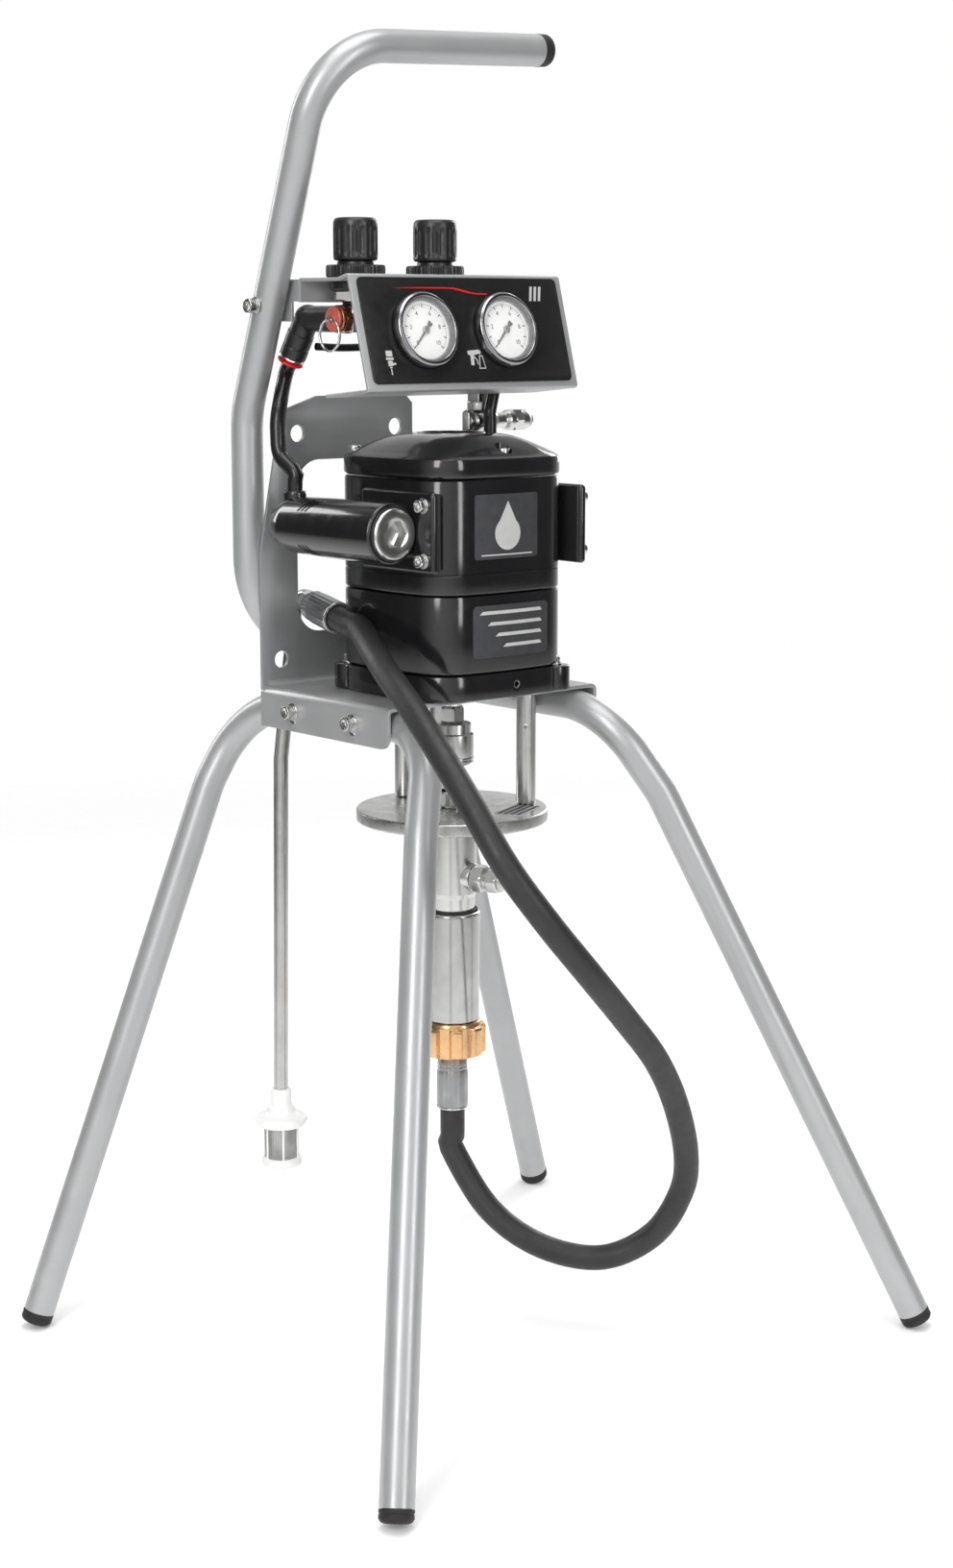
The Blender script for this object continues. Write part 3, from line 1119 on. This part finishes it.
def outlet_fitting(look):
    """Hex outlet nipple that points forward and to the right out of the pump body."""
    angle = math.radians(OUTLET_ANGLE)
    out = Vector((math.cos(angle), math.sin(angle), 0.0))
    origin = Vector((0.0, AXIS_Y, OUTLET_HEIGHT)) + out * (BODY_RADIUS + GAP)
    place = aimed(origin, out)
    nipple = [(0.0, 0.0), (0.0085, 0.0), (0.0085, OUTLET_LENGTH), (0.0, OUTLET_LENGTH)]
    fitting = turned("outlet_fitting", nipple, look["zinc"], place, 16)
    for low, high, across in ((0.002, 0.014, 0.023), (0.016, 0.030, 0.021)):
        join_solid(fitting, prism("cutter", hexagon(across), low, high, look["zinc"], place))


def suction_union(look):
    """Castellated brass nut, and the crimped ferrule on the hose's pump end."""
    centre = upright(0.0, AXIS_Y, 0.0)
    nut = [(0.0, UNION_BOTTOM), (UNION_RADIUS, UNION_BOTTOM), (UNION_RADIUS, UNION_TOP),
           (0.0, UNION_TOP)]
    item = turned("suction_union_nut", nut, look["brass"], centre, 48, union_lobes)
    cut_round(item, FERRULE_STEM_RADIUS + GAP, (0.0, AXIS_Y, UNION_BOTTOM - 0.01), (0, 0, 1),
              UNION_HEIGHT + 0.02, look["cutter"], 20)
    ferrule("hose_ferrule_pump", Vector((0.0, AXIS_Y, FERRULE_TOP)), Vector((0.0, 0.0, -1.0)), look,
            UNION_HEIGHT * 0.8)


def ferrule(name, origin, direction, look, stem):
    """Crimped sleeve with a stem behind it; the hose leaves at its far end."""
    rings = []
    groove = 0.0006
    for count in range(2):
        start = 0.0060 + 0.0040 * count
        rings += [(FERRULE_RADIUS, start), (FERRULE_RADIUS - groove, start + 0.0008),
                  (FERRULE_RADIUS, start + 0.0016)]
    profile = [(0.0, -stem), (FERRULE_STEM_RADIUS, -stem), (FERRULE_STEM_RADIUS, 0.0),
               (FERRULE_RADIUS - 0.002, 0.0), (FERRULE_RADIUS, 0.003)] + rings + [
        (FERRULE_RADIUS, FERRULE_LENGTH - 0.002), (FERRULE_RADIUS - 0.001, FERRULE_LENGTH),
        (0.0, FERRULE_LENGTH)]
    turned(name, profile, look["zinc"], aimed(origin, direction), 20)


def suction_line(look):
    """Upper ferrule, rigid suction tube behind the back plate, and the strainer."""
    aim = Vector(UPPER_FERRULE_AIM).normalized()
    back = Vector(UPPER_FERRULE_BACK)
    stem = 0.006
    ferrule("hose_ferrule_tube", back, aim, look, stem)
    tube_start = back - aim * (stem + GAP)
    corners = [tube_start, tube_start - aim * 0.005, Vector(WINDOW_PASS),
               Vector((TUBE_TOP_X, TUBE_Y, TUBE_TOP_Z)), Vector((TUBE_LEAN_X, TUBE_Y, TUBE_LEAN_Z)),
               Vector((TUBE_LOW_X, TUBE_Y, TUBE_BOTTOM))]
    path = bent_path(corners[:4], TUBE_BEND * 0.6)[:-1]
    path += bent_path([path[-1]] + corners[3:], TUBE_BEND)[1:]
    pipe("suction_tube", path, TUBE_RADIUS, TUBE_WALL, look["chrome"], 14)
    up = corners[4] - corners[5]
    base = STRAINER_BOTTOM
    shoulder = STRAINER_FLANGE_UP
    crown = shoulder + STRAINER_FLANGE_HEIGHT
    length = STRAINER_LENGTH
    profile = [(0.0, 0.0), (STRAINER_FOOT_RADIUS, 0.0), (STRAINER_FOOT_RADIUS, STRAINER_RIM),
               (STRAINER_RADIUS, STRAINER_RIM + 0.001), (STRAINER_RADIUS, shoulder),
               (STRAINER_FLANGE_RADIUS, shoulder + 0.001), (STRAINER_FLANGE_RADIUS, crown),
               (0.0110, crown + 0.003), (0.0095, length), (0.0, length)]
    foot = corners[5] - up.normalized() * (TUBE_BOTTOM - base) / up.normalized().z
    strainer = turned("suction_strainer", profile, look["white_plastic"], aimed(foot, up), 24)
    cut_round(strainer, TUBE_RADIUS + 2.0 * GAP, corners[5] - up.normalized() * GAP, up, 0.05,
              look["cutter"], 20)


# Points on the hose's centre line, from the pump's ferrule to the one on the suction tube
HOSE_ROUTE = (
    (0.012, -0.002, 0.098), (0.034, -0.040, 0.072), (0.064, -0.080, 0.066),
    (0.090, -0.112, 0.088), (0.097, -0.136, 0.128), (0.086, -0.152, 0.166),
    (0.058, -0.168, 0.216), (0.022, -0.182, 0.262), (-0.022, -0.193, 0.305),
    (-0.066, -0.202, 0.347), (-0.103, -0.199, 0.389), (-0.125, -0.179, 0.430),
    (-0.129, -0.145, 0.470), (-0.126, -0.104, 0.505), (-0.118, -0.062, 0.532),
    (-0.107, -0.020, 0.552),
)


def suction_hose(look):
    """Free hose from the pump's ferrule round to the ferrule on the suction tube."""
    aim = Vector(UPPER_FERRULE_AIM).normalized()
    end = Vector(UPPER_FERRULE_BACK) + aim * (FERRULE_LENGTH + GAP)
    start = Vector((0.0, AXIS_Y, FERRULE_BOTTOM - GAP))
    route = lead(start, (0.0, 0.0, -1.0), 0.024)
    route += [Vector(point) for point in HOSE_ROUTE]
    route += list(reversed(lead(end, aim, 0.024)))
    cord_object("suction_hose", smooth_route(route, 0.024), HOSE_RADIUS, look["rubber"])


def build():
    clear_objects()
    look = finishes()
    base_bracket(look)
    legs_and_caps(look)
    carry_handle(look)
    panel_bracket(look)
    panel_facia(look)
    gauges(look)
    regulators(look)
    manifold(look)
    safety_valve(look)
    elbow_and_tube(look)
    inlet_valve(look)
    air_tube_right(look)
    motor_base(look)
    motor_housings(look)
    motor_cover(look)
    valve_blocks(look)
    exhaust_plug(look)
    moving_rod(look)
    tie_rods(look)
    pump(look)
    suction_union(look)
    suction_line(look)
    suction_hose(look)


build()
